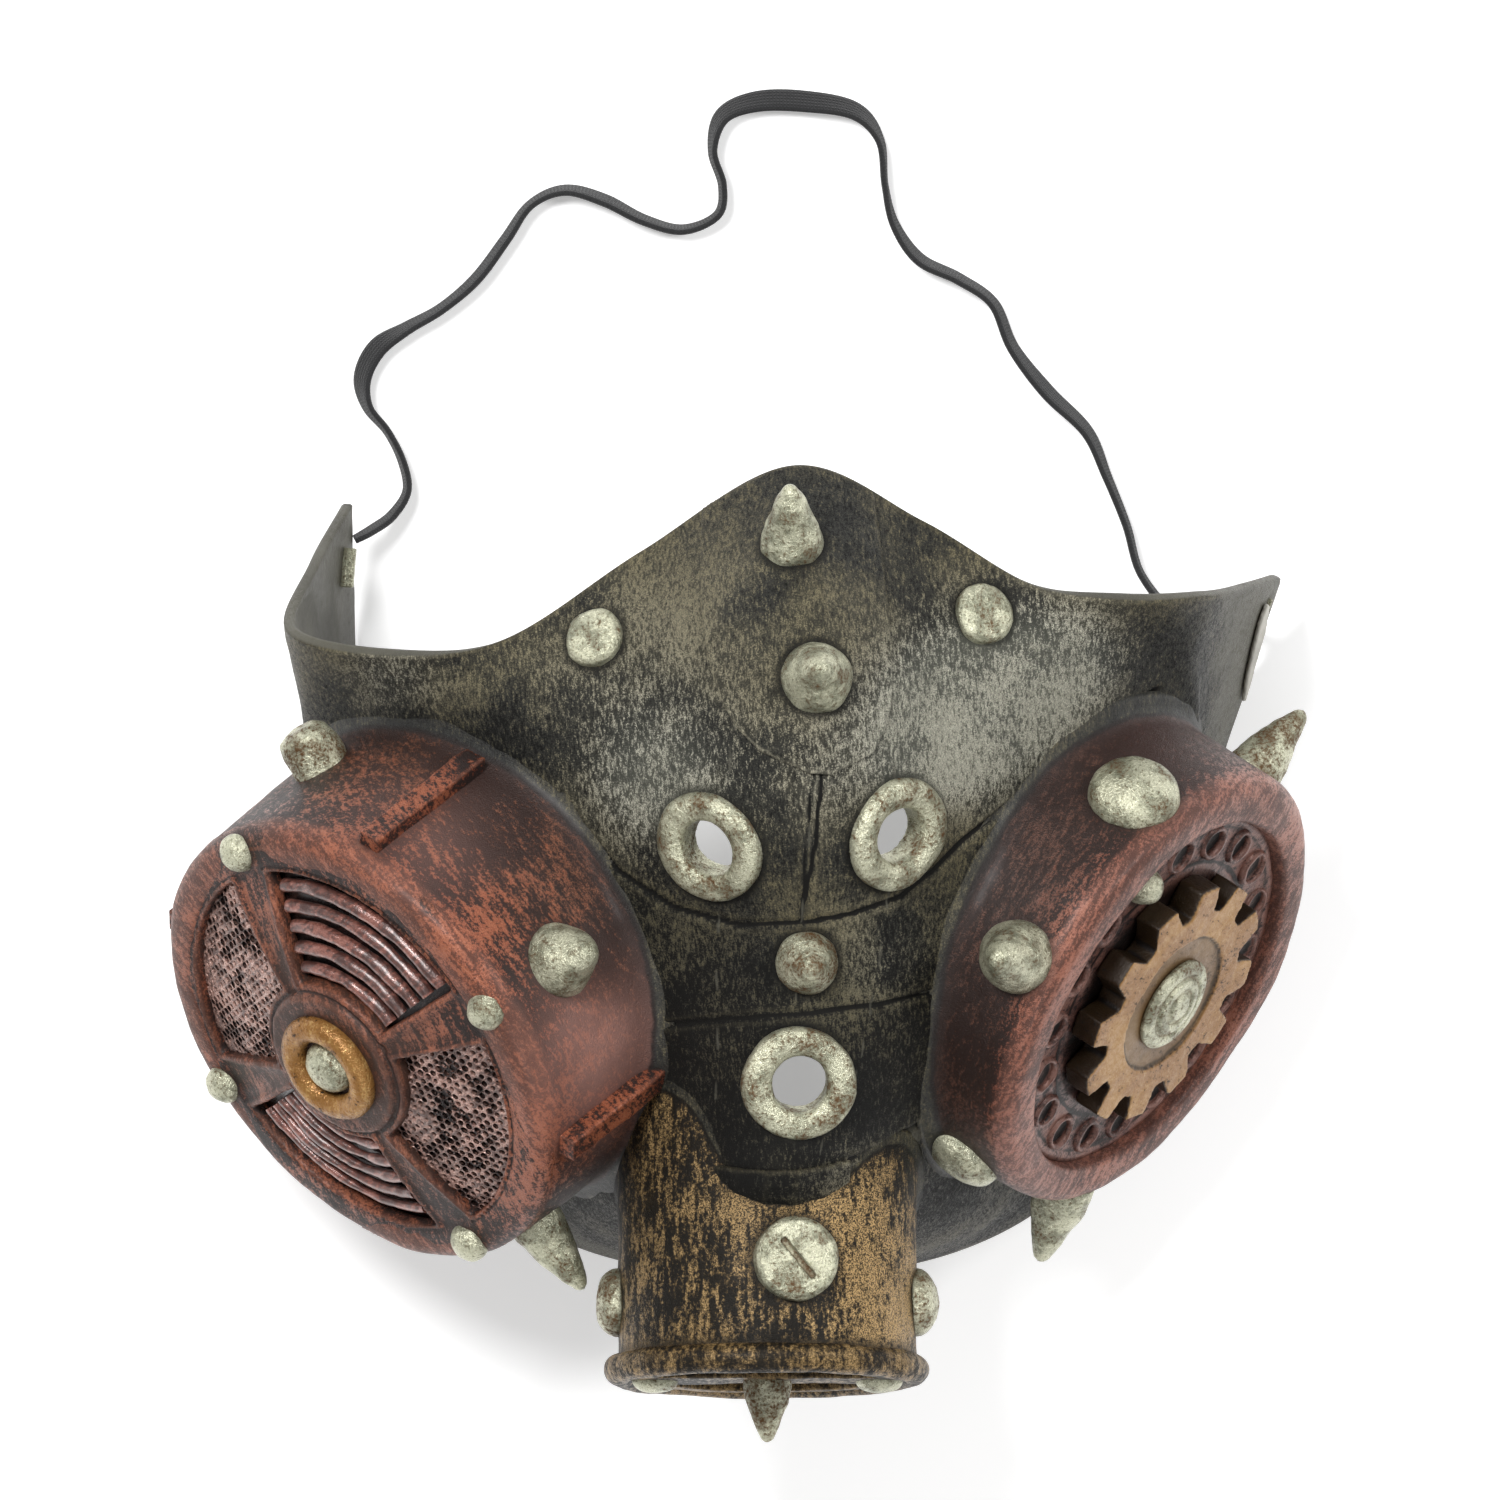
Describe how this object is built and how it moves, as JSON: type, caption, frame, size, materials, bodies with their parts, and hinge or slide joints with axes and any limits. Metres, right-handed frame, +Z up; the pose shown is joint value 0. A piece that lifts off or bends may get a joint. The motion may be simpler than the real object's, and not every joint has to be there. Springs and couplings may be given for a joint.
{
  "type": "respirator half mask",
  "caption": "Steampunk half-face respirator mask in dark latex with round side canisters, a turning gear, a snout canister, spiked studs, grommets and an elastic strap.",
  "frame": {"origin": "centre of the mask's footprint without its strap, at the height of the flat surface that the rear edge lies on", "axes": "+Z up out of the face as the mask lies face up, +Y towards the wearer's brow, +X to the viewer's right, the wearer's left"},
  "size_m": [0.229, 0.2709, 0.1428],
  "materials": {
    "latex_shell": "brushed dark olive black with olive gold highlights",
    "latex_trim": "satin dark olive",
    "copper_paint": "latex painted worn copper red with dark speckle",
    "bronze_paint": "latex painted bronze, dry brushed over dark",
    "mesh_metal": "moulded mesh, pinkish brown",
    "louvre_paint": "glossy dark red brown",
    "dish_paint": "dark purplish brown",
    "gear_bronze": "mustard bronze with dark sides",
    "pewter_metal": "latex painted pale pewter with rust stains",
    "steel": "dull wire steel",
    "bare_latex_patch": "pale worn patch",
    "elastic": "black ribbed matte"
  },
  "bodies": {
    "mask": {"face_shell": "latex_shell", "nose_patch": "latex_trim", "chin_tab": "latex_trim", "nostril_grommet_right": "pewter_metal", "nostril_grommet_left": "pewter_metal", "mouth_grommet": "pewter_metal", "grommet_washers": "pewter_metal", "mesh_drum": "copper_paint", "mesh_cover": "copper_paint", "mesh_screen": "mesh_metal", "mesh_louvres": "louvre_paint", "mesh_hub_ring": "bronze_paint", "mesh_hub_dome": "pewter_metal", "mesh_cover_rivets": "pewter_metal", "mesh_drum_ribs": "copper_paint", "mesh_drum_cone": "pewter_metal", "mesh_drum_rear_stud": "pewter_metal", "mesh_drum_spike": "pewter_metal", "gear_drum": "copper_paint", "gear_dish": "dish_paint", "gear_axle": "steel", "gear_hub_cap": "pewter_metal", "dish_stud": "pewter_metal", "gear_drum_dome": "pewter_metal", "gear_drum_cone": "pewter_metal", "gear_drum_low_dome": "pewter_metal", "gear_drum_side_spike": "pewter_metal", "gear_drum_chin_spike": "pewter_metal", "snout_drum": "bronze_paint", "snout_rim": "bronze_paint", "snout_end_plate": "bronze_paint", "snout_screen": "mesh_metal", "snout_screw": "pewter_metal", "snout_side_studs": "pewter_metal", "snout_face_studs": "pewter_metal", "snout_spike": "pewter_metal", "nose_spike_upper": "pewter_metal", "nose_spike_lower": "pewter_metal", "lip_stud": "pewter_metal", "cheek_studs": "pewter_metal", "strap_staples": "steel", "strap_patches": "bare_latex_patch", "elastic_strap": "elastic"},
    "gear": {"gear_wheel": "gear_bronze"}
  },
  "joints": [
    {"name": "gear_spin", "type": "hinge", "parent": "mask", "child": "gear", "pos_m": [0.0847, -0.0084, 0.0675], "axis": [0.7686, -0.4803, 0.4226], "continuous": true}
  ]
}
